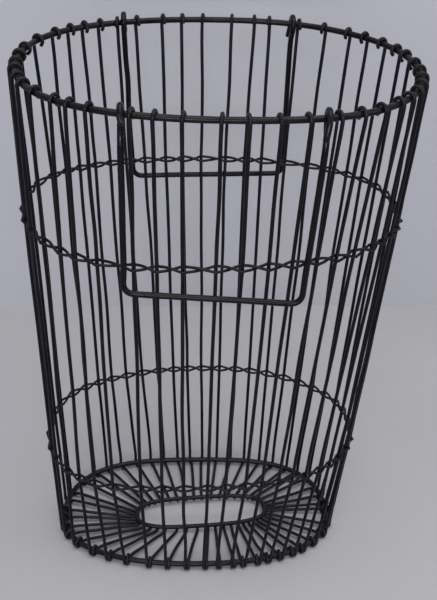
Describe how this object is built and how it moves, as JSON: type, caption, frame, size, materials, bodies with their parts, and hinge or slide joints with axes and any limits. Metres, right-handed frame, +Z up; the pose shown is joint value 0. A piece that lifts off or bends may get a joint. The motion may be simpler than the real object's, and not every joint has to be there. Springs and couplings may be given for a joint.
{
  "type": "fruit picker basket",
  "caption": "Tall oval open-top picking basket of black painted bent wire, tapering to a smaller wire floor, with twined wire bands and a swinging bail handle on each long side.",
  "frame": {"origin": "middle of the overall box, on the ground the feet stand on", "axes": "+X along the long side of the oval, +Y to the back, front handle on the -Y side, +Z up"},
  "size_m": [0.434, 0.353, 0.6347],
  "materials": {
    "hoop_paint": "worn semi-gloss black paint on heavy steel wire",
    "rib_paint": "worn satin black paint on thin steel wire",
    "band_paint": "dusty satin black paint on twined steel wire",
    "handle_paint": "semi-gloss black paint rubbed by hands and by the rim"
  },
  "bodies": {
    "basket": {"rim_hoop": "hoop_paint", "base_hoop": "hoop_paint", "inner_hoop": "hoop_paint", "rib_01": "rib_paint", "rib_02": "rib_paint", "rib_03": "rib_paint", "rib_04": "rib_paint", "rib_05": "rib_paint", "rib_06": "rib_paint", "rib_07": "rib_paint", "rib_08": "rib_paint", "rib_09": "rib_paint", "rib_10": "rib_paint", "rib_11": "rib_paint", "rib_12": "rib_paint", "rib_13": "rib_paint", "rib_14": "rib_paint", "rib_15": "rib_paint", "rib_16": "rib_paint", "rib_17": "rib_paint", "rib_18": "rib_paint", "rib_19": "rib_paint", "rib_20": "rib_paint", "rib_21": "rib_paint", "rib_22": "rib_paint", "rib_23": "rib_paint", "rib_24": "rib_paint", "rib_25": "rib_paint", "rib_26": "rib_paint", "rib_27": "rib_paint", "rib_28": "rib_paint", "rib_29": "rib_paint", "rib_30": "rib_paint", "rib_31": "rib_paint", "rib_32": "rib_paint", "rib_33": "rib_paint", "rib_34": "rib_paint", "rib_35": "rib_paint", "rib_36": "rib_paint", "rib_37": "rib_paint", "rib_38": "rib_paint", "rib_39": "rib_paint", "rib_40": "rib_paint", "rib_41": "rib_paint", "rib_42": "rib_paint", "rib_43": "rib_paint", "rib_44": "rib_paint", "rib_45": "rib_paint", "rib_46": "rib_paint", "rib_47": "rib_paint", "upper_band_strand_a": "band_paint", "upper_band_strand_b": "band_paint", "lower_band_strand_a": "band_paint", "lower_band_strand_b": "band_paint"},
    "front_bail": {"front_handle": "handle_paint"},
    "back_bail": {"back_handle": "handle_paint"}
  },
  "joints": [
    {"name": "front_handle_hinge", "type": "hinge", "parent": "basket", "child": "front_bail", "pos_m": [-0.00645, -0.15727, 0.624], "axis": [-0.9993, 0.0368, 0], "range_deg": [0, 349]},
    {"name": "back_handle_hinge", "type": "hinge", "parent": "basket", "child": "back_bail", "pos_m": [-0.00146, 0.15335, 0.624], "axis": [0.9997, 0.0239, 0], "range_deg": [0, 345]}
  ]
}
